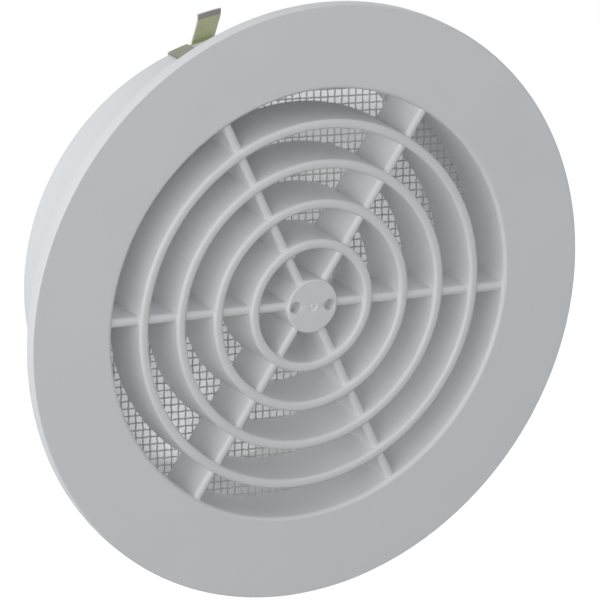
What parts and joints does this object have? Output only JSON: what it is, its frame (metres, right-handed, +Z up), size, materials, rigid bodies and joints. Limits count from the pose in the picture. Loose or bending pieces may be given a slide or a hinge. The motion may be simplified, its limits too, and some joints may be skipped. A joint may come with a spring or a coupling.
{
  "type": "round vent cover",
  "caption": "Round wall vent cover with a ring grille, an insect screen behind it and a collar with spring clips that hold it in a duct.",
  "frame": {"origin": "on the duct's axis, in the plane of the wall that the back of the rim rests on", "axes": "+Y into the duct along its axis, front towards -Y, +X to the right seen from the front, +Z up"},
  "size_m": [0.154, 0.0435, 0.154],
  "materials": {
    "white_plastic": "satin moulded white",
    "screen_mesh": "matt pale grey coated mesh",
    "passivated_steel": "yellow passivated zinc on spring steel"
  },
  "bodies": {
    "root": {"vent_cover": "white_plastic", "insect_screen": "screen_mesh", "spring_clip_upper": "passivated_steel", "spring_clip_lower": "passivated_steel"}
  },
  "joints": []
}
